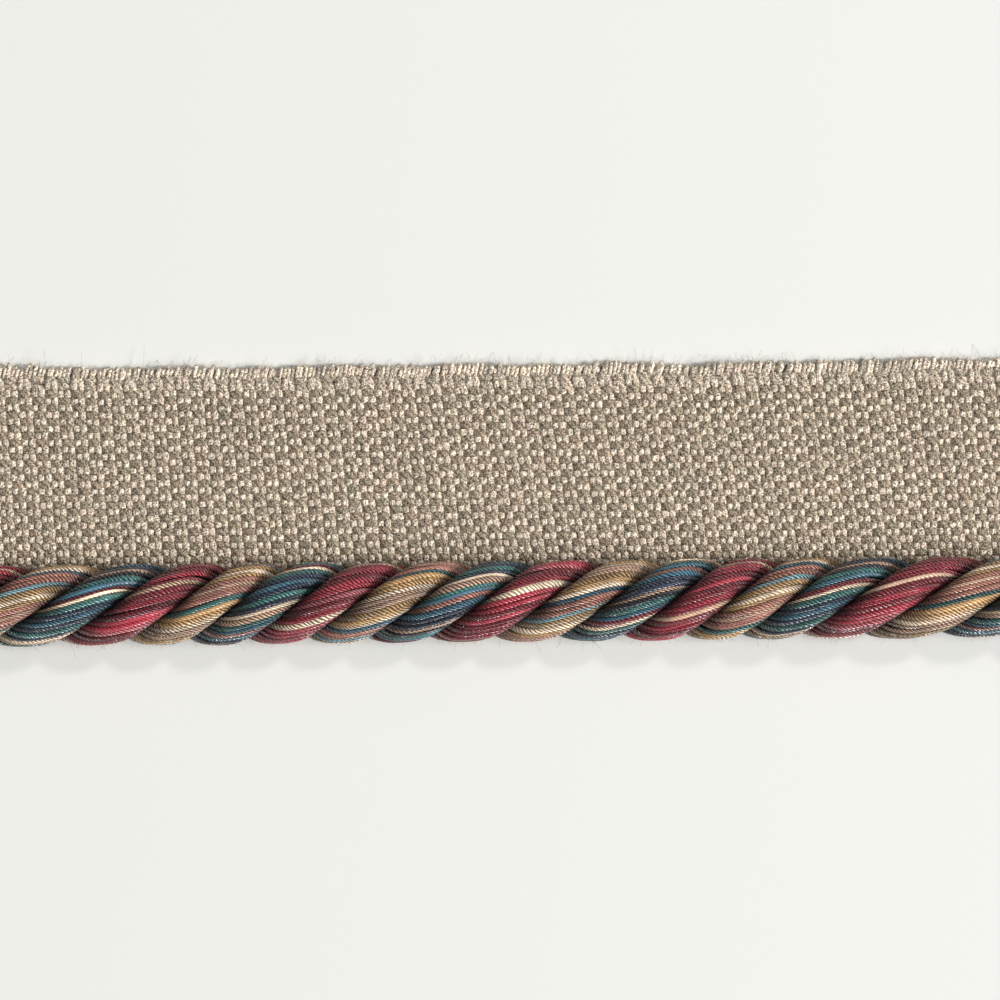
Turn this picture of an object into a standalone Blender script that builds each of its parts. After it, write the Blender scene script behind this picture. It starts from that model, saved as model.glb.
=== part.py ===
# A flanged cord trim: a cord of three plies twisted together, with a woven tape sewn along its side.
# It lies face up on z = 0. X runs along the trim, and Y from the cord to the tape's free edge.
# Every length is in metres. The length is a whole number of turns, so copies butt end to end.

import math

import bpy

MM = 0.001

# Length of the piece
LAY = 18.9 * MM  # one full turn of a ply, measured along the cord
TURNS = 7
LENGTH = LAY * TURNS

# Cord
PLY_CENTRE = 2.3 * MM  # cord's axis to a ply's middle
PLY_HEIGHT = 1.72 * MM  # half the ply's size, measured away from the axis
PLY_WIDTH = 1.95 * MM  # half the ply's size across, where plies press on each other
PLY_FULLNESS = 2.5  # 2 is an ellipse, and more is squarer
PLY_GAP = 0.45 * MM  # between two plies, which leaves 0.3 mm between their flat facets
PLY_SWELL = 0.025  # how much a ply's size wanders
CORD_RADIUS = PLY_CENTRE + PLY_HEIGHT
FLOOR_FLAT = 0.07 * MM  # how far the plies' crests are pressed flat by what they lie on
RED_ON_TOP = 1.65 * MM  # where the red ply crosses the top of the cord
TWIST_LEAN = 0.15  # how far the turns lie over, so that they cross the top at a lower slant
LEAN_FADE = 8  # the lean dies away at both cut ends, and sooner with a lower number

# Waves in which the twist runs ahead or behind
DRIFT_WAVES = (
    # waves over the length, height, start
    (1, 0.45 * MM, 2.14),
    (2, 0.27 * MM, 1.59),
    (3, 0.70 * MM, -1.49),
    (4, 0.23 * MM, 1.97),
)

# Tape
TAPE_THICKNESS = 1.2 * MM
TAPE_REACH = 23.9 * MM  # cord's axis to the free edge
TAPE_EDGE_ROUND = 0.35 * MM
SEAM_GAP = 0.35 * MM  # between the cord's crests and the tape edge that is sewn under them
TAPE_TUCK = 2.4 * MM  # cord's axis to the sewn edge, which hides under the cord
TAPE_DIP_FROM = 4.6 * MM  # cord's axis to where the tape starts to thin towards its sewn edge
TAPE_DIP = 0.1 * MM

# Places
CORD_Y = (CORD_RADIUS - TAPE_REACH) / 2  # so that the origin is under the middle of the whole
CORD_Z = CORD_RADIUS - FLOOR_FLAT

# Fineness of the meshes
RINGS_PER_LAY = 18
PLY_SIDES = 14
TAPE_STATIONS = 72

# The plies in the order in which they cross the top of the cord
PLIES = (
    # name, place in the twist, start of its swell, colour, roughness
    ("cord_ply_red", 0, 0.4, (0.30, 0.035, 0.065), 0.62),
    ("cord_ply_gold", 1, 2.3, (0.42, 0.24, 0.09), 0.62),
    ("cord_ply_teal", 2, 4.6, (0.03, 0.13, 0.19), 0.62),
)
TAPE_COLOUR = (0.41, 0.33, 0.25)
TAPE_ROUGHNESS = 0.9

# Waves of the free edge, from one long bow to short ripples
EDGE_WAVES = (
    # waves over the length, height, start
    (1, -0.20 * MM, 0.0),
    (2, 0.10 * MM, 0.0),
    (9, 0.10 * MM, 1.1),
    (14, 0.06 * MM, 2.7),
)


def clear_scene():
    for thing in list(bpy.data.objects):
        bpy.data.objects.remove(thing, do_unlink=True)


def make_material(name, colour, roughness):
    material = bpy.data.materials.new(name)
    material.use_nodes = True
    shader = material.node_tree.nodes["Principled BSDF"]
    shader.inputs["Base Color"].default_value = (*colour, 1.0)
    shader.inputs["Roughness"].default_value = roughness
    shader.inputs["Metallic"].default_value = 0.0
    return material


def loft(name, rings, material):
    """One closed body through rings that each run the same way round, capped at both ends."""
    sides = len(rings[0])
    points = [point for ring in rings for point in ring]
    faces = [tuple(reversed(range(sides)))]
    for ring in range(len(rings) - 1):
        start = ring * sides
        for side in range(sides):
            beside = (side + 1) % sides
            faces.append((start + side, start + beside, start + sides + beside, start + sides + side))
    faces.append(tuple(range(len(points) - sides, len(points))))
    mesh = bpy.data.meshes.new(name)
    mesh.from_pydata(points, [], faces)
    mesh.materials.append(material)
    mesh.shade_smooth()
    mesh.set_sharp_from_angle(angle=math.radians(50))
    thing = bpy.data.objects.new(name, mesh)
    bpy.context.scene.collection.objects.link(thing)
    return thing


def drift(along):
    """How far the real twist runs ahead of an even one. It is nil at both ends."""
    def shift(place):
        return sum(height * math.cos(2 * math.pi * waves * place / LENGTH + start) for waves, height, start in DRIFT_WAVES)
    return shift(along) - shift(LENGTH / 2)


def lean(along):
    return TWIST_LEAN * (1 - abs(2 * along / LENGTH) ** LEAN_FADE)


def swell(along, start):
    return 1 + PLY_SWELL * math.sin(6 * math.pi * along / LENGTH + start)


def rounded(value, power):
    """A sine or cosine raised to a power, with its sign kept."""
    return math.copysign(abs(value) ** power, value)


def ply_section(size):
    """The ply cut square across the cord, as distances and angles about the cord's axis.

    An oval square to the ply's own run is screwed back into the plane of the cut, and then
    kept inside a third of the turn, so that its flanks lie flat beside the other plies.
    """
    twist = 2 * math.pi / LAY
    slope = math.atan(twist * PLY_CENTRE)
    section = []
    for side in range(PLY_SIDES):
        around = 2 * math.pi * side / PLY_SIDES
        outward = size * PLY_HEIGHT * rounded(math.cos(around), 2 / PLY_FULLNESS)
        across = size * PLY_WIDTH * rounded(math.sin(around), 2 / PLY_FULLNESS)
        distance = math.hypot(PLY_CENTRE + outward, across * math.cos(slope))
        angle = math.atan2(across * math.cos(slope), PLY_CENTRE + outward)
        angle += twist * across * math.sin(slope)
        gap_angle = PLY_GAP / 2 * math.hypot(1, twist * distance) / distance
        limit = math.pi / 3 - gap_angle
        section.append((distance, max(-limit, min(limit, angle))))
    return section


def make_ply(name, place, swell_start, colour, roughness):
    """A ply wound round the cord's axis, going from the near side over the top to the tape."""
    steps = RINGS_PER_LAY * TURNS
    rings = []
    for step in range(steps + 1):
        along = LENGTH * (step / steps - 0.5)
        turn = math.pi / 2 - 2 * math.pi * ((along - RED_ON_TOP) / LAY - place / 3)
        ring = []
        for distance, angle in ply_section(swell(along, swell_start)):
            y = CORD_Y + distance * math.cos(turn + angle)
            z = CORD_Z + distance * math.sin(turn + angle)
            ring.append((along + drift(along) + lean(along) * (y - CORD_Y), y, max(z, 0.0)))
        rings.append(ring)
    return loft(name, rings, make_material(name, colour, roughness))


def edge_wander(along):
    return sum(
        height * math.cos(2 * math.pi * waves * along / LENGTH + start)
        for waves, height, start in EDGE_WAVES
    )


def under_cord(height):
    """How far from the cord's axis the tape's sewn edge lies at a height, just clear of the crests."""
    clear = CORD_RADIUS * (1 + PLY_SWELL / 2) + SEAM_GAP
    return math.sqrt(clear**2 - (CORD_Z - height) ** 2)


def tape_ring(along):
    """The tape cut square across: flat below and above, hollowed under the cord, round at the free edge."""
    free = CORD_Y + TAPE_REACH + edge_wander(along)
    top = TAPE_THICKNESS
    inner = [(CORD_Y + TAPE_DIP_FROM, top)]
    for height in (top - TAPE_DIP, top * 0.6, top * 0.3, 0):
        inner.append((CORD_Y + max(TAPE_TUCK, under_cord(height)), height))
    outer = []
    for turn in (-90, -45, 0, 45, 90):
        y = free - TAPE_EDGE_ROUND * (1 - math.cos(math.radians(turn)))
        z = top / 2 * (1 + math.sin(math.radians(turn)))
        outer.append((y, z))
    return [(along, y, z) for y, z in outer + inner]


def make_tape():
    rings = [tape_ring(LENGTH * (station / TAPE_STATIONS - 0.5)) for station in range(TAPE_STATIONS + 1)]
    return loft("flange_tape", rings, make_material("flange_tape", TAPE_COLOUR, TAPE_ROUGHNESS))


def main():
    clear_scene()
    make_tape()
    for name, place, swell_start, colour, roughness in PLIES:
        make_ply(name, place, swell_start, colour, roughness)


main()
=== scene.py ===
import math

import bpy
import numpy as np
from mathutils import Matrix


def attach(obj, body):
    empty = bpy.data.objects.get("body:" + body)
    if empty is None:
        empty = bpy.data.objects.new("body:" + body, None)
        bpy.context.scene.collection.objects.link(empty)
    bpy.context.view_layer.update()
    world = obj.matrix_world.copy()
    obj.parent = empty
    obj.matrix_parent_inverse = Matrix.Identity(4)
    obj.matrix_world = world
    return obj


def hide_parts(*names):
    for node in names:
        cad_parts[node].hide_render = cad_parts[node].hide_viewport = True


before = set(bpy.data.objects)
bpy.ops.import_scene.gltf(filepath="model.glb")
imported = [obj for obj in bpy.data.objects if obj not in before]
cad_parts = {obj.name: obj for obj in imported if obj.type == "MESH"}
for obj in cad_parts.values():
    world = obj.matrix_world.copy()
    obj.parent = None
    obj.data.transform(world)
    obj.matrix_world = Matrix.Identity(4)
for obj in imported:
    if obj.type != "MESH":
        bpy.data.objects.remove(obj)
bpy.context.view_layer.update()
mm = 0.001
print("stage 1: the packed frame is loaded")

# what the solids are made from, so that every yarn lies where its solid does
trim = dict(
    lay=18.9 * mm,  # one full turn of a ply
    turns=7,
    plyCentre=2.3 * mm,
    plyHeight=1.72 * mm,
    plyWidth=1.95 * mm,
    plyFullness=2.5,
    plySwell=0.025,
    floorFlat=0.07 * mm,
    redOnTop=1.65 * mm,
    twistLean=0.15,
    leanFade=8,
    driftWaves=(  # waves over the length, height, start
        (1, 0.45 * mm, 2.14),
        (2, 0.27 * mm, 1.59),
        (3, 0.70 * mm, -1.49),
        (4, 0.23 * mm, 1.97),
    ),
    tapeThick=1.2 * mm,
    tapeReach=23.9 * mm,  # cord's axis to the free edge
    seamGap=0.35 * mm,
)
trimLength = trim["lay"] * trim["turns"]
halfLength = trimLength / 2
cordRadius = trim["plyCentre"] + trim["plyHeight"]
cordY = (cordRadius - trim["tapeReach"]) / 2
cordZ = cordRadius - trim["floorFlat"]
twist = 2 * math.pi / trim["lay"]
slope = math.atan(twist * trim["plyCentre"])  # between a ply and the cord's axis


# ---- camera, light and floor

studio = dict(
    viewWidth=100 * mm,  # what the picture spans, at the tape's face
    sensor=36.0,
    nearest=0.01,
    distance=0.65,
    lookAt=(0.0, 0.18 * mm),
    roll=-0.55,  # degrees, so that the trim climbs slightly to the right
    floorSize=3.0,
    paper=(0.832, 0.831, 0.795),
    paperRoughness=0.95,
    paperSpecular=0.1,
    sky=(1.0, 1.0, 1.0),
    skyPower=0.17,
    key=dict(place=(2.25, -0.08, 1.25), size=0.55, power=78.0),
    top=dict(place=(0.0, -0.75, 1.65), size=1.1, power=7.2),
    rim=dict(place=(1.38, 1.02, 1.86), size=0.30, power=12.0),
)


def placeCamera():
    camera = bpy.data.cameras.new("camera")
    camera.sensor_width = studio["sensor"]
    camera.lens = camera.sensor_width * studio["distance"] / studio["viewWidth"]
    camera.clip_start = studio["nearest"]
    holder = bpy.data.objects.new("camera", camera)
    holder.location = (*studio["lookAt"], trim["tapeThick"] + studio["distance"])
    holder.rotation_euler = (0.0, 0.0, math.radians(studio["roll"]))
    bpy.context.scene.collection.objects.link(holder)
    bpy.context.scene.camera = holder


def placeLight(name, settings):
    lamp = bpy.data.lights.new(name, "AREA")
    lamp.shape = "DISK"
    lamp.size = settings["size"]
    lamp.energy = settings["power"]
    holder = bpy.data.objects.new(name, lamp)
    holder.location = settings["place"]
    # turned so that it shines on the trim
    x, y, z = settings["place"]
    holder.rotation_euler = (0.0, math.atan2(math.hypot(x, y), z), math.atan2(y, x))
    holder.visible_camera = False
    bpy.context.scene.collection.objects.link(holder)


def makeStudio():
    bpy.context.scene.view_settings.view_transform = "Standard"
    world = bpy.data.worlds.new("studioAir")
    world.use_nodes = True
    air = world.node_tree.nodes["Background"]
    air.inputs["Color"].default_value = (*studio["sky"], 1.0)
    air.inputs["Strength"].default_value = studio["skyPower"]
    bpy.context.scene.world = world
    placeCamera()
    placeLight("keyLight", studio["key"])
    placeLight("topLight", studio["top"])
    placeLight("rimLight", studio["rim"])
    bpy.ops.mesh.primitive_plane_add(size=studio["floorSize"], location=(0.0, 0.0, 0.0))
    floor = bpy.context.object
    floor.name = "floor"
    paper = bpy.data.materials.new("palePaper")
    paper.use_nodes = True
    shader = paper.node_tree.nodes["Principled BSDF"]
    shader.inputs["Base Color"].default_value = (*studio["paper"], 1.0)
    shader.inputs["Roughness"].default_value = studio["paperRoughness"]
    shader.inputs["Specular IOR Level"].default_value = studio["paperSpecular"]
    floor.data.materials.append(paper)


makeStudio()
print("stage 2: camera, light and floor are in place")


# shader values that add and multiply as numbers do, and one way to make any other node
class shaderValue:
    def __init__(self, tree, socket):
        self.tree, self.socket = tree, socket

    def node(self, kind, settings=None, values=None, out=0):
        made = self.tree.nodes.new(kind)
        for name, value in (settings or {}).items():
            setattr(made, name, value)
        for name, value in (values or {}).items():
            if isinstance(value, shaderValue):
                self.tree.links.new(value.socket, made.inputs[name])
            else:
                made.inputs[name].default_value = value
        return shaderValue(self.tree, made.outputs[out])

    def sum(self, operation, first, second=0.0):
        return self.node("ShaderNodeMath", dict(operation=operation), {0: first, 1: second})

    def __add__(self, other):
        return self.sum("ADD", self, other)

    def __sub__(self, other):
        return self.sum("SUBTRACT", self, other)

    def __rsub__(self, other):
        return self.sum("SUBTRACT", other, self)

    def __mul__(self, other):
        return self.sum("MULTIPLY", self, other)

    def __pow__(self, other):
        return self.sum("POWER", self, other)

    __radd__, __rmul__ = __add__, __mul__


yarnShading = dict(
    fibreDetail=3.0,
    toneDetail=2.0,
    leastFibre=0.15,  # no fibre is darker than this share of its dye
    reliefUnit=1.0 * mm,
    sheenRoughness=0.4,
)


def yarnFinish(name, look):
    material = bpy.data.materials.new(name)
    material.use_nodes = True
    tree = material.node_tree
    shader = tree.nodes["Principled BSDF"]
    make = shaderValue(tree, None)
    run = make.node("ShaderNodeUVMap", dict(uv_map="yarnRun"))
    lengthwise = run.node("ShaderNodeSeparateXYZ", values={0: run})
    around = shaderValue(tree, lengthwise.socket.node.outputs[1])
    place = make.node("ShaderNodeTexCoord", out=3)  # Object coordinates
    fibre = make.node("ShaderNodeTexNoise", None, {
        "Vector": place, "Scale": look["fibreScale"], "Detail": yarnShading["fibreDetail"]})
    tone = make.node("ShaderNodeTexNoise", None, {
        "Vector": place, "Scale": look["toneScale"], "Detail": yarnShading["toneDetail"]})
    # the strands of a yarn cross it as a screw does
    screw = (around - lengthwise * (1 / look["strandTurn"])) * (look["strands"] * math.pi)
    screw = screw + tone * look["sway"]
    strand = screw.sum("SINE", screw)
    strand = strand.sum("ABSOLUTE", strand)
    dye = make.node("ShaderNodeAttribute", dict(attribute_name="dye"))
    cut = shaderValue(tree, dye.socket.node.outputs["Alpha"])  # how deep this yarn's strand marks are
    groove = 1 - (1 - strand ** look["grooveShape"]) * cut
    # painted highlight and shade: strand crests are lightened as a painted highlight and strand grooves
    # darkened as a painted shade, besides the bump
    shade = groove * (look["crest"] - look["paintedGrooveShade"]) + look["paintedGrooveShade"]
    streak = fibre * look["fibreTone"] + (1 - look["fibreTone"] / 2)
    shade = shade * streak.sum("MAXIMUM", streak, yarnShading["leastFibre"])
    shade = shade * (tone * look["tone"] + (1 - look["tone"] / 2))
    colour = dye.node("ShaderNodeVectorMath", dict(operation="SCALE"), {0: dye, "Scale": shade})
    height = groove * look["strandDepth"] + fibre * look["fibreDepth"]
    bump = height.node("ShaderNodeBump", None, {
        "Height": height, "Distance": yarnShading["reliefUnit"], "Strength": 1.0})
    tree.links.new(colour.socket, shader.inputs["Base Color"])
    tree.links.new(bump.socket, shader.inputs["Normal"])
    shader.inputs["Roughness"].default_value = look["roughness"]
    shader.inputs["Specular IOR Level"].default_value = look["specular"]
    shader.inputs["Sheen Weight"].default_value = look["sheen"]
    shader.inputs["Sheen Roughness"].default_value = yarnShading["sheenRoughness"]
    return material


gather = dict(
    floorClear=0.005 * mm,  # no yarn goes lower than this above the floor
    stripMargin=0.01,  # of a strip of the bake map, on both sides
    stripGap=2,  # yarn halves left free at both ends of a yarn's place in its strip
)


# yarns gathered into one mesh. Each keeps its run, its dye and a strip of the bake map
class yarnBundle:
    def __init__(self):
        self.points, self.quads, self.tris = [], [], []
        self.runs, self.dyes, self.lengths = [], [], []
        self.count = 0

    # a closed tube along points, with its flat side facing outward
    def add(self, points, outward, halfAcross, halfOut, sides, dye, cut=1.0):
        steps = len(points)
        tangent = unit(np.gradient(points, axis=0))
        side = unit(np.cross(tangent, outward))
        out = np.cross(side, tangent)
        turn = np.pi + 2 * np.pi * np.arange(sides) / sides
        halfAcross = np.broadcast_to(halfAcross, steps)[:, None, None]
        halfOut = np.broadcast_to(halfOut, steps)[:, None, None]
        ring = points[:, None] + halfOut * np.cos(turn)[:, None] * out[:, None]
        ring = ring + halfAcross * np.sin(turn)[:, None] * side[:, None]
        run = np.r_[0, np.cumsum(np.linalg.norm(np.diff(points, axis=0), axis=1))]
        cell = np.arange(steps - 1)[:, None] * sides + np.arange(sides)[None]
        beside = np.arange(steps - 1)[:, None] * sides + (np.arange(sides)[None] + 1) % sides
        quads = np.stack([cell, beside, beside + sides, cell + sides], -1).reshape(-1, 4)
        around = np.arange(sides) / sides
        first, last = steps * sides, steps * sides + 1
        ringStart = np.arange(sides)
        ringNext = (ringStart + 1) % sides
        ringEnd = (steps - 1) * sides
        caps = np.concatenate([
            np.stack([ringNext, ringStart, np.full(sides, first)], -1),
            np.stack([ringEnd + ringStart, ringEnd + ringNext, np.full(sides, last)], -1),
        ])
        low = np.broadcast_to(run[:-1, None], cell.shape)
        high = np.broadcast_to(run[1:, None], cell.shape)
        left = np.broadcast_to(around[None], cell.shape)
        right = left + 1 / sides
        quadRun = np.stack([low, left, low, right, high, right, high, left], -1).reshape(-1, 4, 2)
        tip = float(np.mean(halfOut))
        near, far = np.zeros(sides), np.full(sides, run[-1])
        middle = around + 0.5 / sides
        capRun = np.concatenate([
            np.stack([near, around + 1 / sides, near, around, near - tip, middle], -1),
            np.stack([far, around, far, around + 1 / sides, far + tip, middle], -1),
        ]).reshape(-1, 3, 2)
        ring[..., 2] = np.maximum(ring[..., 2], gather["floorClear"])
        self.points += [ring.reshape(-1, 3), points[:1], points[-1:]]
        self.quads.append(quads + self.count)
        self.tris.append(caps + self.count)
        self.runs.append((quadRun, capRun))
        dye = np.c_[np.broadcast_to(dye, (steps, 3)), np.broadcast_to(cut, steps)]
        self.dyes += [np.repeat(dye, sides, axis=0), dye[:1], dye[-1:]]
        self.lengths.append((run[-1], tip))
        self.count += steps * sides + 2

    # strips of the bake map: each yarn lies along one, and short yarns share one
    def bakeStrips(self):
        gap, margin = gather["stripGap"], gather["stripMargin"]
        needs = [length + 2 * gap * tip for length, tip in self.lengths]
        longest = max(needs)
        full = longest * 1.0001  # a hair more, for rounding
        places, row, used = [], 0, 0.0
        for need, (_, tip) in zip(needs, self.lengths):
            if used + need > full:
                row, used = row + 1, 0.0
            places.append((row, used + gap * tip))
            used += need
        rows = row + 1
        maps = []
        for kind in (0, 1):
            for (row, start), run in zip(places, self.runs):
                along = (run[kind][..., 0] + start) / longest
                across = (run[kind][..., 1] * (1 - 2 * margin) + margin + row) / rows
                maps.append(np.stack([along, across], -1))
        return maps

    def build(self, name, material):
        quads, tris = np.concatenate(self.quads), np.concatenate(self.tris)
        mesh = bpy.data.meshes.new(name)
        mesh.from_pydata(np.concatenate(self.points).tolist(), [], quads.tolist() + tris.tolist())
        mesh.shade_smooth()
        runs = [run[kind] for kind in (0, 1) for run in self.runs]
        for mapName, parts in (("yarnRun", runs), ("OFBake", self.bakeStrips())):
            layer = mesh.uv_layers.new(name=mapName)
            corners = np.concatenate([part.reshape(-1) for part in parts])
            layer.uv.foreach_set("vector", corners.astype(np.float32))
        dye = np.concatenate(self.dyes)
        layer = mesh.color_attributes.new("dye", "FLOAT_COLOR", "POINT")
        layer.data.foreach_set("color", dye.astype(np.float32).ravel())
        mesh.materials.append(material)
        piece = bpy.data.objects.new(name, mesh)
        bpy.context.scene.collection.objects.link(piece)
        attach(piece, "root")
        print(f"  {name}: {2 * len(quads) + len(tris)} triangles")
        return piece


def unit(vectors):
    return vectors / np.linalg.norm(vectors, axis=-1, keepdims=True)


fuzz = dict(points=4, sides=3, stray=0.55, curl=0.9)


def addFuzz(rng, bundle, roots, away, lengths, dyes, half):
    # loose fibre ends that stand off a yarn and curl over
    for root, out, length, dye in zip(roots, away, lengths, dyes):
        aim = unit(out + rng.normal(0, fuzz["stray"], 3))
        curl = rng.normal(0, fuzz["curl"], 3)
        reach = np.linspace(0, 1, fuzz["points"])[:, None] * length
        points = root + aim * reach + curl * reach**2 / length * 0.5
        points[:, 2] = np.maximum(points[:, 2], half)
        inside = np.abs(points[:, 0]) < halfLength
        if inside.all():
            up = unit(np.cross(aim, rng.normal(0, 1, 3)))
            bundle.add(points, np.tile(up, (fuzz["points"], 1)), half, half, fuzz["sides"], dye)


def wander(rng, places, wave, size):
    # a smooth random line through places, with bumps about a wave long
    start, end = places.min() - wave, places.max() + wave
    knots = np.arange(start, end + wave, wave)
    heights = rng.normal(0.0, size, len(knots))
    at = (places - start) / wave
    low = np.clip(at.astype(int), 0, len(knots) - 2)
    share = at - low
    share = share * share * (3 - 2 * share)
    return heights[low] * (1 - share) + heights[low + 1] * share


def linear(red, green, blue):
    # a colour given from 0 to 255, as light
    return np.array([((level / 255 + 0.055) / 1.055) ** 2.4 for level in (red, green, blue)])


def cutEnds(points, *others):
    # keeps the stretch between the two cut ends, with a point on each cut
    x = points[:, 0]
    inside = np.flatnonzero(np.abs(x) < halfLength)
    if len(inside) < 3:
        return None
    first, last = inside[0], inside[-1]
    def between(values, out, back):
        goal = math.copysign(halfLength, x[out])
        share = (goal - x[back]) / (x[out] - x[back])
        return values[back] + (values[out] - values[back]) * share
    kept = []
    for values in (points, *others):
        rows = [values[first:last + 1]]
        if first > 0:
            rows.insert(0, between(values, first - 1, first)[None])
        if last < len(x) - 1:
            rows.append(between(values, last + 1, last)[None])
        kept.append(np.concatenate(rows))
    return kept


# ---- the cord's plies, each a twist of fine yarns round a core

cord = dict(
    yarns=20,
    widths=(0.75, 1.3),  # how unlike in width the yarns are
    yarnHalf=0.27 * mm,
    yarnTurns=1.75,  # turns of a yarn round its ply in one lay
    crowd=1.12,  # how far yarns overlap their neighbours
    stepsPerLay=38,
    sides=7,
    beyond=3.0 * mm,  # how far the twist goes on past each cut before it is cut off
    keepClear=0.9,  # share of a yarn's half that stays on its own side of the next ply
    # pairs from here to cutWander are a wander's length of wave and its size
    strayRound=(6.0 * mm, 0.008),
    strayDepth=(4.5 * mm, 0.028),
    plumpness=(3.0 * mm, 0.09),
    dyeWander=(5.0 * mm, 0.13),
    cutWander=(4.0 * mm, 0.25),
    cutRange=(0.45, 1.0),  # how deep the strand marks of unlike yarns are
    leastCut=0.15,
    dyeSpread=0.10,  # between one yarn and another
    paintedShadeFrom=0.35,  # painted shade: a yarn is darkened from here on its way into the crevice at the next ply, which is at 1
    paintedShadeAmount=0.88,  # how much darker the painted shade makes it there
    hairs=1500,
    hairHalf=0.010 * mm,
    hairClear=0.05 * mm,
    hairShown=0.7,  # none roots nearer than this to the next ply, which is at 1
    hairLowest=0.4 * mm,
    hairLength=(0.25, 0.8),  # in mm
    hairPale=(0.8, 0.25),  # a hair's share of its yarn's dye, and the light added to it
    # the core's tone darkens it as a painted shade between the yarns
    core=dict(steps=150, beyond=1.0 * mm, clear=1.0 * mm, setBack=0.3 * mm, share=0.95, tone=0.5, sides=10),
    # depth of the yarn ends below the ply's skin in mm, and how many there are
    tips=((0.60, 17), (0.90, 13), (1.20, 9), (1.50, 4)),
    tip=dict(reach=2.0 * mm, steps=8, clear=0.12 * mm, half=0.27 * mm, sides=6, stray=0.1),
    colours=dict(
        w=linear(108, 26, 36),  # wine
        r=linear(148, 42, 56),  # rose
        p=linear(176, 92, 98),  # pink
        c=linear(220, 196, 168),  # cream
        t=linear(178, 144, 120),  # tan
        o=linear(170, 134, 88),  # ochre
        m=linear(148, 98, 84),  # mauve brown
        b=linear(50, 88, 104),  # blue
        g=linear(50, 96, 92),  # green teal
        s=linear(108, 142, 148),  # sky teal
        n=linear(26, 36, 54),  # navy
        k=linear(20, 22, 30),  # near black
    ),
    look=dict(
        fibreScale=5200.0, fibreTone=1.2, fibreDepth=0.04,
        toneScale=420.0, tone=1.2, sway=8.0,
        strands=4, strandTurn=1.75 * mm, strandDepth=0.24,
        # the crest factor is a painted highlight on strand crests, the groove factor a painted shade in
        # strand grooves
        grooveShape=1.2, paintedGrooveShade=0.28, crest=1.75,
        roughness=0.34, specular=1.0, sheen=0.1,
    ),
)
plies = (
    dict(name="ply_red_yarns", node="cord_ply_red", slot="red_yarn", place=0, swellStart=0.4, seed=11,
         chart="wwrrtwrrwrrpwwrcrrwr"),
    dict(name="ply_gold_yarns", node="cord_ply_gold", slot="gold_yarn", place=1, swellStart=2.3, seed=12,
         chart="toocbmmsocomtmmgooct"),
    dict(name="ply_teal_yarns", node="cord_ply_teal", slot="teal_yarn", place=2, swellStart=4.6, seed=13,
         chart="bngnctgbmbnntkgbwcgn"),
)


def drift(along):
    def shift(place):
        return sum(height * np.cos(2 * math.pi * count * place / trimLength + start)
                   for count, height, start in trim["driftWaves"])
    return shift(along) - shift(halfLength)


def twistLean(along):
    return trim["twistLean"] * np.maximum(1 - np.abs(along / halfLength) ** trim["leanFade"], 0)


def plySkin(inset):
    # a ply's section square to its own run: places and outward directions by share of the way round
    angles = np.linspace(0, 2 * np.pi, 1441)  # every quarter of a degree
    power = 2 / trim["plyFullness"]
    outward = (trim["plyHeight"] - inset) * np.sign(np.cos(angles)) * np.abs(np.cos(angles)) ** power
    across = (trim["plyWidth"] - inset) * np.sign(np.sin(angles)) * np.abs(np.sin(angles)) ** power
    section = np.stack([outward, across], -1)
    length = np.r_[0, np.cumsum(np.linalg.norm(np.diff(section, axis=0), axis=1))]
    along = np.gradient(section, axis=0)
    normal = unit(np.stack([along[:, 1], -along[:, 0]], -1) + 1e-12)
    share = length / length[-1]
    def read(at):
        at = at % 1.0
        place = np.stack([np.interp(at, share, section[:, i]) for i in (0, 1)], -1)
        facing = unit(np.stack([np.interp(at, share, normal[:, i]) for i in (0, 1)], -1))
        return place, facing
    return read, length[-1]


def onPly(ply, along, place, facing, half):
    # section places along a ply, turned into points and directions in the trim's own frame
    turn = np.pi / 2 - twist * (along - trim["redOnTop"]) + 2 * np.pi * ply["place"] / 3
    zero = np.zeros_like(turn)
    outward = np.stack([zero, np.cos(turn), np.sin(turn)], -1)
    sideways = np.stack([zero, -np.sin(turn), np.cos(turn)], -1)
    across = np.array([math.sin(slope), 0, 0]) + math.cos(slope) * sideways
    swell = 1 + trim["plySwell"] * np.sin(6 * math.pi * along / trimLength + ply["swellStart"])
    place = swell[:, None] * place
    points = outward * (trim["plyCentre"] + place[:, :1]) + across * place[:, 1:]
    points[:, 0] += along
    # flanks press flat on the next ply, inside a third of the turn
    distance = np.hypot(points[:, 1], points[:, 2])
    middle = np.pi / 2 - twist * (points[:, 0] - trim["redOnTop"]) + 2 * np.pi * ply["place"] / 3
    off = (np.arctan2(points[:, 2], points[:, 1]) - middle + np.pi) % (2 * np.pi) - np.pi
    limit = np.pi / 3 - half * np.hypot(1, twist * distance) / np.maximum(distance, half)
    press = np.minimum(np.abs(off) / limit, 1)
    angle = middle + np.clip(off, -limit, limit)
    aside = distance * np.cos(angle)
    x = points[:, 0] + drift(points[:, 0]) + twistLean(points[:, 0]) * aside
    points = np.stack([x, cordY + aside, cordZ + distance * np.sin(angle)], -1)
    points[:, 2] = np.maximum(points[:, 2], half)
    direction = outward * facing[:, :1] + across * facing[:, 1:]
    return points, direction, press


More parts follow.
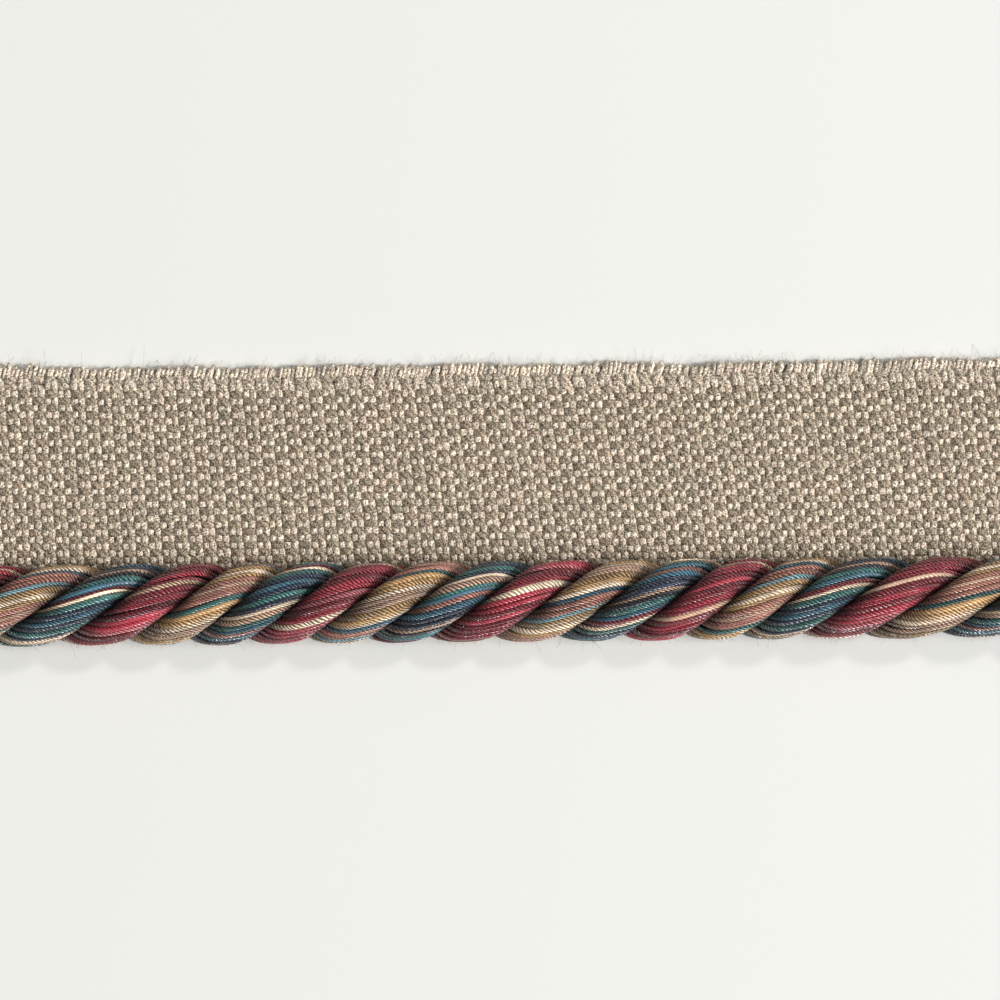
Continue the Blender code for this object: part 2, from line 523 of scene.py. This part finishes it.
def makePly(ply):
    rng = np.random.default_rng(ply["seed"])
    bundle = yarnBundle()
    reach = halfLength + cord["beyond"]
    along = np.linspace(-reach, reach, int(2 * reach / trim["lay"] * cord["stepsPerLay"]))
    read, girth = plySkin(cord["yarnHalf"])
    widths = rng.uniform(*cord["widths"], cord["yarns"])
    widths = widths / widths.sum()
    starts = np.cumsum(widths) - widths / 2
    for number, letter in enumerate(ply["chart"]):
        halfAcross = girth * widths[number] / 2 * cord["crowd"]
        share = starts[number] + cord["yarnTurns"] / trim["lay"] * along
        share = share + wander(rng, along, *cord["strayRound"])
        place, facing = read(share)
        place = place * (1 + wander(rng, along, *cord["strayDepth"])[:, None])
        points, direction, press = onPly(ply, along, place, facing, cord["yarnHalf"] * cord["keepClear"])
        plump = 1 + wander(rng, along, *cord["plumpness"])
        # painted shade: yarns are darkened where they dive into the shaded crevice between two plies
        deep = np.clip((press - cord["paintedShadeFrom"]) / (1 - cord["paintedShadeFrom"]), 0, 1)
        tone = rng.normal(1.0, cord["dyeSpread"]) * (1 + wander(rng, along, *cord["dyeWander"]))
        tone = tone * (1 - cord["paintedShadeAmount"] * deep**2)
        dye = cord["colours"][letter] * tone[:, None]
        cut = rng.uniform(*cord["cutRange"]) + wander(rng, along, *cord["cutWander"])
        cut = np.clip(cut, cord["leastCut"], 1.0)
        points, direction, plump, dye, cut = cutEnds(points, direction, plump, dye, cut)
        halfOut = cord["yarnHalf"] * plump
        bundle.add(points, direction, halfAcross * plump, halfOut, cord["sides"], dye, cut)
    return bundle


def addCore(bundle, ply):
    # a plain core under the yarns, and the ends of its own yarns at both cuts
    rng = np.random.default_rng(ply["seed"] + 100)
    core, tip = cord["core"], cord["tip"]
    along = np.linspace(-halfLength - core["beyond"], halfLength + core["beyond"], core["steps"])
    middle, facing = np.zeros((core["steps"], 2)), np.tile([1.0, 0.0], (core["steps"], 1))
    points, direction, _ = onPly(ply, along, middle, facing, core["clear"])
    points, direction = cutEnds(points, direction)
    points[0, 0] += core["setBack"]
    points[-1, 0] -= core["setBack"]
    half = (trim["plyHeight"] - 2 * cord["yarnHalf"]) * core["share"]
    # painted shade: the core takes its yarns' mean dye darkened by the core's tone, so the gaps between yarns
    # look shaded
    coreShadeColour = np.mean([cord["colours"][letter] for letter in ply["chart"]], axis=0) * core["tone"]
    bundle.add(points, direction, half, half, core["sides"], coreShadeColour)
    for end in (-1, 1):
        for depth, ends in cord["tips"]:
            read, _ = plySkin(depth * mm)
            for number in range(ends):
                along = end * halfLength + np.linspace(-tip["reach"], tip["reach"], tip["steps"])
                share = (number + rng.uniform(-tip["stray"], tip["stray"])) / ends
                place, facing = read(share + cord["yarnTurns"] / trim["lay"] * along)
                points, direction, _ = onPly(ply, along, place, facing, tip["clear"])
                cut = cutEnds(points, direction)
                if cut is None:
                    continue
                points, direction = cut
                dye = cord["colours"][ply["chart"][rng.integers(len(ply["chart"]))]]
                bundle.add(points, direction, tip["half"], tip["half"], tip["sides"], dye)


def addPlyFuzz(bundle, ply):
    # hairs on the skin, but not between the plies or on what the cord lies on
    rng = np.random.default_rng(ply["seed"] + 200)
    read, _ = plySkin(0.0)
    along = rng.uniform(-halfLength, halfLength, cord["hairs"])
    place, facing = read(rng.uniform(0, 1, cord["hairs"]))
    roots, away, press = onPly(ply, along, place, facing, cord["hairClear"])
    shown = np.flatnonzero((press < cord["hairShown"]) & (roots[:, 2] > cord["hairLowest"]))
    letters = rng.integers(len(ply["chart"]), size=len(shown))
    share, light = cord["hairPale"]
    dyes = [cord["colours"][ply["chart"][letter]] * share + light for letter in letters]
    lengths = rng.uniform(*cord["hairLength"], len(shown)) * mm
    addFuzz(rng, bundle, roots[shown], away[shown], lengths, dyes, cord["hairHalf"])


for ply in plies:
    bundle = makePly(ply)
    addCore(bundle, ply)
    addPlyFuzz(bundle, ply)
    piece = bundle.build(ply["name"], yarnFinish(ply["slot"], cord["look"]))
    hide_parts(ply["node"])
print("stage 3: the cord is twisted")


# ---- the tape: thick taupe yarns along it, and cream ones in pairs across it

tape = dict(
    rows=29,
    rowPitch=0.692 * mm,
    firstRow=22.45 * mm,  # cord's axis to the outermost yarn
    pairPitch=1.32 * mm,  # from one pair of picks to the next
    pairsBeyond=8,
    pairsShift=-2.0 * mm,
    thinnest=0.25 * mm,  # where the tape is pressed flat under the cord
    # a stray, plump, slim, dye or hue is a wander's length of wave and its size
    rowRise=0.29 * mm,  # how far the long yarns climb and dive
    rowHalfAcross=0.42 * mm,
    rowPuff=0.18,  # how much wider a yarn is on top
    rowHalfOut=0.34 * mm,
    rowSides=6,
    rowStray=(1.1 * mm, 0.035 * mm),
    rowPlump=(1.3 * mm, 0.06),
    rowDye=(1.4 * mm, 0.06),
    looseRows=3,  # the outermost rows, which stray more
    looseBy=2.0,
    paleRows=2,
    crestFrom=0.5,  # how high a long yarn has its full dye
    pickGap=0.69 * mm,  # between the two picks of a pair
    pickRise=0.32 * mm,
    pickSquare=0.95,  # below 1 a pick stays high over more of the row
    pickHalfAcross=0.425 * mm,
    pickHalfOut=0.235 * mm,
    pickSides=5,
    pickStepsPerRow=6,
    pickStray=(1.2 * mm, 0.045 * mm),
    pickSlim=(0.9 * mm, 0.09),
    pickDye=(1.2 * mm, 0.06),
    closeFrom=0.7 * mm,  # from the outermost row, and from here out a pair draws together
    closeTo=0.4,
    paleFrom=1.2 * mm,  # picks are a little darker towards the free edge
    paleTo=0.5 * mm,
    paleLeast=0.92,
    loopSteps=9,
    loopFrom=0.25 * mm,  # from the outermost row to where a pick turns back
    loopTop=23.55 * mm,
    loopStray=0.22 * mm,
    loopLean=0.62 * mm,
    loopLeanStray=0.12 * mm,
    loopHeight=0.25 * mm,
    loopLift=0.1 * mm,
    loopSlimBy=0.6 * mm,
    loopHalf=0.25 * mm,
    cutClear=0.05 * mm,  # picks and edge thread stop this short of the cuts
    dyeSpread=0.03,
    hue=(1.5 * mm, 0.014),
    tuck=2.9 * mm,  # cord's axis to the sheet inside the weave
    taupe=linear(177, 160, 137),
    cream=linear(242, 224, 201),
    fade=linear(229, 211, 188),  # the thick yarns' paler flanks, where they dive
    hair=linear(250, 246, 236),
    rowLook=dict(
        fibreScale=6000.0, fibreTone=5.0, fibreDepth=0.40,
        toneScale=700.0, tone=0.25, sway=2.5,
        strands=3, strandTurn=1.8 * mm, strandDepth=0.08,
        # the crest factor is a painted highlight on strand crests, the groove factor a painted shade in
        # strand grooves
        grooveShape=0.8, paintedGrooveShade=0.50, crest=1.1,
        roughness=0.85, specular=0.25, sheen=0.15,
    ),
    pickLook=dict(
        fibreScale=6000.0, fibreTone=4.4, fibreDepth=0.38,
        toneScale=700.0, tone=0.25, sway=2.5,
        strands=2, strandTurn=0.9 * mm, strandDepth=0.05,
        # the crest factor is a painted highlight on strand crests, the groove factor a painted shade in
        # strand grooves
        grooveShape=0.8, paintedGrooveShade=0.72, crest=1.12,
        roughness=0.75, specular=0.3, sheen=0.15,
    ),
)
# waves of the free edge over the length, height, start
edgeWaves = ((1, -0.20 * mm, 0.0), (2, 0.10 * mm, 0.0), (9, 0.10 * mm, 1.1), (14, 0.06 * mm, 2.7))
# x in mm, and how far a pick leans there
leanTable = ((-66, 0.06), (-34, 0.07), (0, 0.14), (16, 0.176), (36, 0.14), (66, 0.12))


def edgeWander(along):
    return sum(height * np.cos(2 * math.pi * count * along / trimLength + start)
               for count, height, start in edgeWaves)


def lean(along):
    places, amounts = zip(*leanTable)
    return np.interp(along / mm, places, amounts)


def tapeTop(distance):
    # how high the tape may be at a distance from the cord's axis: thinner where it is sewn under the cord
    clear = cordRadius + trim["seamGap"]
    under = cordZ - np.sqrt(np.maximum(clear**2 - distance**2, 0))
    top = np.where(distance < clear, under, trim["tapeThick"])
    return np.clip(top, tape["thinnest"], trim["tapeThick"])


def inTape(along, distance, height):
    # a point of the weave, bowed with the free edge and squeezed under the cord
    share = distance / trim["tapeReach"]
    y = cordY + distance + edgeWander(along) * share**2
    squeeze = tapeTop(distance) / trim["tapeThick"]
    return np.stack([along, y, height * squeeze], -1), squeeze


def pairTops():
    # where the pairs of picks meet the outermost row, and some past both cuts
    count = int(trimLength / tape["pairPitch"]) + tape["pairsBeyond"]
    return (np.arange(count) - count / 2 + 0.5) * tape["pairPitch"] + tape["pairsShift"]


def rowOf(distance):
    # the row number at a distance from the cord's axis. The two outermost rows work as one
    number = (tape["firstRow"] - distance) / tape["rowPitch"]
    return np.where(number < 1, 0.0, number - 1)


def hueDrift(rng, run):
    # patches a little greener or pinker
    wave, size = tape["hue"]
    shift = size * wander(rng, run, wave, 1.0)
    return np.stack([1 + shift, 1 - shift * 0.6, 1 + shift * 0.2], -1)


def makeRows(material):
    rng = np.random.default_rng(21)
    bundle = yarnBundle()
    tops = pairTops()
    middle = trim["tapeThick"] / 2
    strayWave, stray = tape["rowStray"]
    plumpWave, plumpSize = tape["rowPlump"]
    for row in range(tape["rows"]):
        distance = tape["firstRow"] - row * tape["rowPitch"]
        crossings = tops + lean(tops) * (tape["firstRow"] - distance)
        pairs = np.arange(0.125, len(tops) - 1, 0.25)  # four points from one pair to the next
        along = np.interp(pairs, np.arange(len(tops)), crossings)
        wave = np.cos(np.pi * (pairs - max(row - 1, 0)))
        loose = tape["looseBy"] if row < tape["looseRows"] else 1.0
        distances = distance + wander(rng, along, strayWave, stray * loose)
        points, squeeze = inTape(along, distances, middle + tape["rowRise"] * wave)
        plump = (1 + tape["rowPuff"] * wave) * (1 + wander(rng, along, plumpWave, plumpSize * loose))
        tone = rng.normal(1.0, tape["dyeSpread"]) * (1 + wander(rng, along, *tape["rowDye"]))
        base = (tape["taupe"] + tape["cream"]) / 2 if row < tape["paleRows"] else tape["taupe"]
        crest = np.clip(wave / tape["crestFrom"], 0, 1)[:, None]
        dye = (base * crest + tape["fade"] * (1 - crest)) * tone[:, None] * hueDrift(rng, along)
        up = np.tile([0.0, 0.0, 1.0], (len(points), 1))
        points, up, plump, squeeze, dye = cutEnds(points, up, plump, squeeze, dye)
        halfAcross, halfOut = tape["rowHalfAcross"] * plump, tape["rowHalfOut"] * squeeze
        bundle.add(points, up, halfAcross, halfOut, tape["rowSides"], dye)
    return bundle.build("tape_rows", material)


def pickLoop(top, reach, leanNow):
    # a pick turning back at the free edge, leaning to the right as it goes
    first = tape["firstRow"] + tape["loopFrom"]
    points = []
    for share in np.linspace(0, 1, tape["loopSteps"])[1:-1]:
        swing = math.sin(math.pi * share)
        x = top - tape["pickGap"] / 2 * math.cos(math.pi * share) * tape["closeTo"] + leanNow * swing
        distance = first + (reach - first) * swing
        height = trim["tapeThick"] / 2 + tape["loopHeight"] * swing * (1 - 2 * share) + tape["loopLift"]
        points.append(inTape(np.array([x]), np.array([distance]), np.array([height]))[0][0])
    return np.array(points)


def makePicks(material):
    rng = np.random.default_rng(22)
    tops = pairTops()
    middle = trim["tapeThick"] / 2
    first = tape["firstRow"]
    last = first + tape["loopFrom"]
    lowest = first - (tape["rows"] - 0.5) * tape["rowPitch"]
    steps = int((first - lowest) / tape["rowPitch"] * tape["pickStepsPerRow"])
    distance = np.linspace(lowest, last, steps)
    apart = np.interp(distance, [first - tape["closeFrom"], last], [1.0, tape["closeTo"]])
    pieces = []
    for half in (0, 1):
        bundle = yarnBundle()
        for number, top in enumerate(tops):
            if (number < len(tops) / 2) != (half == 0):
                continue
            legs = []
            for side in (-1, 1):
                along = top + side * tape["pickGap"] / 2 * apart + lean(top) * (first - distance)
                along = along + wander(rng, distance, *tape["pickStray"])
                wave = -np.cos(np.pi * (number - rowOf(distance)))
                wave = np.sign(wave) * np.abs(wave) ** tape["pickSquare"]
                points, squeeze = inTape(along, distance, middle + tape["pickRise"] * wave)
                legs.append((points, squeeze))
            reach = tape["loopTop"] + rng.normal(0, tape["loopStray"])
            loop = pickLoop(top, reach, tape["loopLean"] + rng.normal(0, tape["loopLeanStray"]))
            points = np.concatenate([legs[0][0], loop, legs[1][0][::-1]])
            squeeze = np.concatenate([legs[0][1], np.ones(len(loop)), legs[1][1][::-1]])
            out = points[:, 1] - cordY
            thin = tape["loopHalf"] / tape["pickHalfAcross"]
            slim = np.interp(out, [first, first + tape["loopSlimBy"]], [1.0, thin])
            run = np.arange(len(points)) * 0.2 * mm  # near enough for its wanders
            slim = slim * (1 + wander(rng, run, *tape["pickSlim"]))
            tone = rng.normal(1.0, tape["dyeSpread"]) * (1 + wander(rng, run, *tape["pickDye"]))
            fading = [first - tape["paleFrom"], first - tape["paleTo"]]
            pale = np.interp(out, fading, [1.0, tape["paleLeast"]])
            dye = tape["cream"] * (tone * pale)[:, None] * hueDrift(rng, run)
            up = np.tile([0.0, 0.0, 1.0], (len(points), 1))
            halfAcross = tape["pickHalfAcross"] * slim * np.sqrt(squeeze)
            halfOut = tape["pickHalfOut"] * slim * squeeze
            inside = np.abs(points[:, 0]) < halfLength - tape["cutClear"]
            for part in np.split(np.arange(len(points)), np.flatnonzero(np.diff(inside.astype(int))) + 1):
                if inside[part[0]] and len(part) > 5:
                    bundle.add(points[part], up[part], halfAcross[part], halfOut[part],
                               tape["pickSides"], dye[part])
        pieces.append(bundle.build(f"tape_picks_{half + 1}", material))
    return pieces


edge = dict(
    strands=2,
    pitch=0.86 * mm,
    middle=23.12 * mm,  # cord's axis to the middle of the whipping
    halfDeep=0.46 * mm,
    halfHigh=0.42 * mm,
    lean=0.62 * mm,
    half=0.235 * mm,
    sides=5,
    pointsPerTurn=9,
    turnsBeyond=8,
    startBeyond=2.0 * mm,
    pale=1.2,  # against the picks
    # a wander's length of wave and its size
    stray=(1.2 * mm, 0.10 * mm),
    deepWander=(0.8 * mm, 0.34),
    dyeWander=(0.5 * mm, 0.24),
    hairHalf=0.013 * mm,
    # where hairs root, in mm from the cord's axis, their height, lean, length in mm and paleness
    edgeHairs=dict(count=3300, roots=(21.9, 23.6), height=1.0 * mm, away=(0.45, 0.8, 0.25),
                   length=(0.3, 1.2), pale=(0.95, 1.05)),
    faceHairs=dict(count=1300, roots=(4.5, 23.0), height=1.15 * mm, away=(0.0, 0.0, 0.35),
                   length=(0.3, 0.8), pale=(0.5, 1.0)),
    # stitches under the cord: steps along it, distance from its axis and height, in mm
    stitch=dict(pitch=3.15 * mm, first=1.0 * mm, last=2.0 * mm, half=0.11 * mm, sides=6,
                run=(0.0, 0.3, 0.7, 1.1), reach=(3.6, 3.0, 2.2, 1.2), height=(0.4, 0.13, 0.13, 0.6)),
)


def addTapeHairs(rng, bundle, hairs):
    x = rng.uniform(-halfLength, halfLength, hairs["count"])
    distance = rng.uniform(*hairs["roots"], len(x)) * mm
    roots, _ = inTape(x, distance, np.full(len(x), hairs["height"]))
    away = np.tile(hairs["away"], (len(x), 1))
    dyes = [tape["hair"] * tone for tone in rng.uniform(*hairs["pale"], len(x))]
    addFuzz(rng, bundle, roots, away, rng.uniform(*hairs["length"], len(x)) * mm, dyes, edge["hairHalf"])


def makeEdge(material):
    # a fine thread whipped round the free edge, leaning as it goes over
    rng = np.random.default_rng(23)
    bundle = yarnBundle()
    turnCount = trimLength / edge["pitch"] + edge["turnsBeyond"]
    for strand in range(edge["strands"]):
        turns = np.arange(0, turnCount, 1 / edge["pointsPerTurn"])
        angle = 2 * np.pi * turns
        place = turns + strand / edge["strands"]
        x = -halfLength - edge["startBeyond"] + edge["pitch"] * place + edge["lean"] * np.cos(angle) * 0.5
        x = x + wander(rng, x, *edge["stray"])
        deep = edge["halfDeep"] * (1 + wander(rng, x, *edge["deepWander"]))
        distance = edge["middle"] + deep * np.cos(angle)
        height = trim["tapeThick"] / 2 + edge["halfHigh"] * np.sin(angle)
        points, _ = inTape(x, distance, height)
        away = np.stack([np.zeros_like(angle), np.cos(angle), np.sin(angle)], -1)
        tone = 1 + wander(rng, x, *edge["dyeWander"])
        dye = tape["cream"] * edge["pale"] * tone[:, None] * hueDrift(rng, x)
        inside = np.abs(points[:, 0]) < halfLength - tape["cutClear"]
        keep = np.arange(np.argmax(inside), len(inside) - np.argmax(inside[::-1]))
        keep = keep[inside[keep]]
        for part in np.split(keep, np.flatnonzero(np.diff(keep) > 1) + 1):
            if len(part) > 3:
                bundle.add(points[part], away[part], edge["half"], edge["half"], edge["sides"], dye[part])
    addTapeHairs(rng, bundle, edge["edgeHairs"])
    addTapeHairs(rng, bundle, edge["faceHairs"])
    # stitches under the cord hold its plies to the tape
    stitch = edge["stitch"]
    run, reach, height = (np.array(stitch[name]) * mm for name in ("run", "reach", "height"))
    up = np.tile([0.0, 0.0, 1.0], (len(run), 1))
    for start in np.arange(-halfLength + stitch["first"], halfLength - stitch["last"], stitch["pitch"]):
        points = np.stack([start + run, cordY + reach, height], -1)
        bundle.add(points, up, stitch["half"], stitch["half"], stitch["sides"], tape["cream"])
    return bundle.build("tape_edge", material)


shadeSheet = dict(
    thick=0.3 * mm,
    columns=72,
    rows=12,
    edgeIn=0.5 * mm,
    endIn=0.1 * mm,
    fibreScale=3000.0,
    fibreDetail=3.0,
    # the dark and light colours are the sheet's painted shade, seen in the gaps of the weave
    dark=(0.05, 0.035, 0.022, 1.0),
    light=(0.12, 0.09, 0.06, 1.0),
    roughness=0.95,
)


def makeShadeSheet(material):
    # painted shade inside the weave: a thin dark sheet with the tape's outline
    low, high = tape["tuck"], trim["tapeReach"] - shadeSheet["edgeIn"]
    bpy.ops.object.select_all(action="DESELECT")
    bpy.ops.mesh.primitive_grid_add(x_subdivisions=shadeSheet["columns"], y_subdivisions=shadeSheet["rows"], size=1.0)
    piece = bpy.context.object
    piece.name = "tape_shade_sheet"
    for vertex in piece.data.vertices:
        along = vertex.co.x * (trimLength - 2 * shadeSheet["endIn"])
        distance = low + (vertex.co.y + 0.5) * (high - low)
        point, _ = inTape(np.array([along]), np.array([distance]), np.array([trim["tapeThick"] / 2]))
        vertex.co = point[0]
    thickness = piece.modifiers.new("thickness", "SOLIDIFY")
    thickness.thickness = shadeSheet["thick"]
    thickness.offset = 0.0
    bpy.ops.object.modifier_apply(modifier="thickness")
    piece.data.shade_smooth()
    piece.data.materials.append(material)
    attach(piece, "root")
    return piece, (high - low, trimLength)


def shadeSheetFinish():
    material = bpy.data.materials.new("weaveShade")
    material.use_nodes = True
    tree = material.node_tree
    make = shaderValue(tree, None)
    place = make.node("ShaderNodeTexCoord", out=3)  # Object coordinates
    fibre = make.node("ShaderNodeTexNoise", None, {
        "Vector": place, "Scale": shadeSheet["fibreScale"], "Detail": shadeSheet["fibreDetail"]})
    # painted shade: a dark mottled colour for the sheet seen between the yarns
    mixed = {0: fibre, 6: shadeSheet["dark"], 7: shadeSheet["light"]}
    colour = make.node("ShaderNodeMix", dict(data_type="RGBA"), mixed, out=2)
    shader = tree.nodes["Principled BSDF"]
    tree.links.new(colour.socket, shader.inputs["Base Color"])
    shader.inputs["Roughness"].default_value = shadeSheet["roughness"]
    return material


rowsPiece = makeRows(yarnFinish("taupeYarn", tape["rowLook"]))
creamYarn = yarnFinish("creamYarn", tape["pickLook"])
pickPieces = makePicks(creamYarn)
edgePiece = makeEdge(creamYarn)
shadeSheetPiece, shadeSheetFlat = makeShadeSheet(shadeSheetFinish())
for piece in (shadeSheetPiece, rowsPiece, edgePiece, *pickPieces):
    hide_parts("flange_tape")
print("stage 4: the tape is woven")
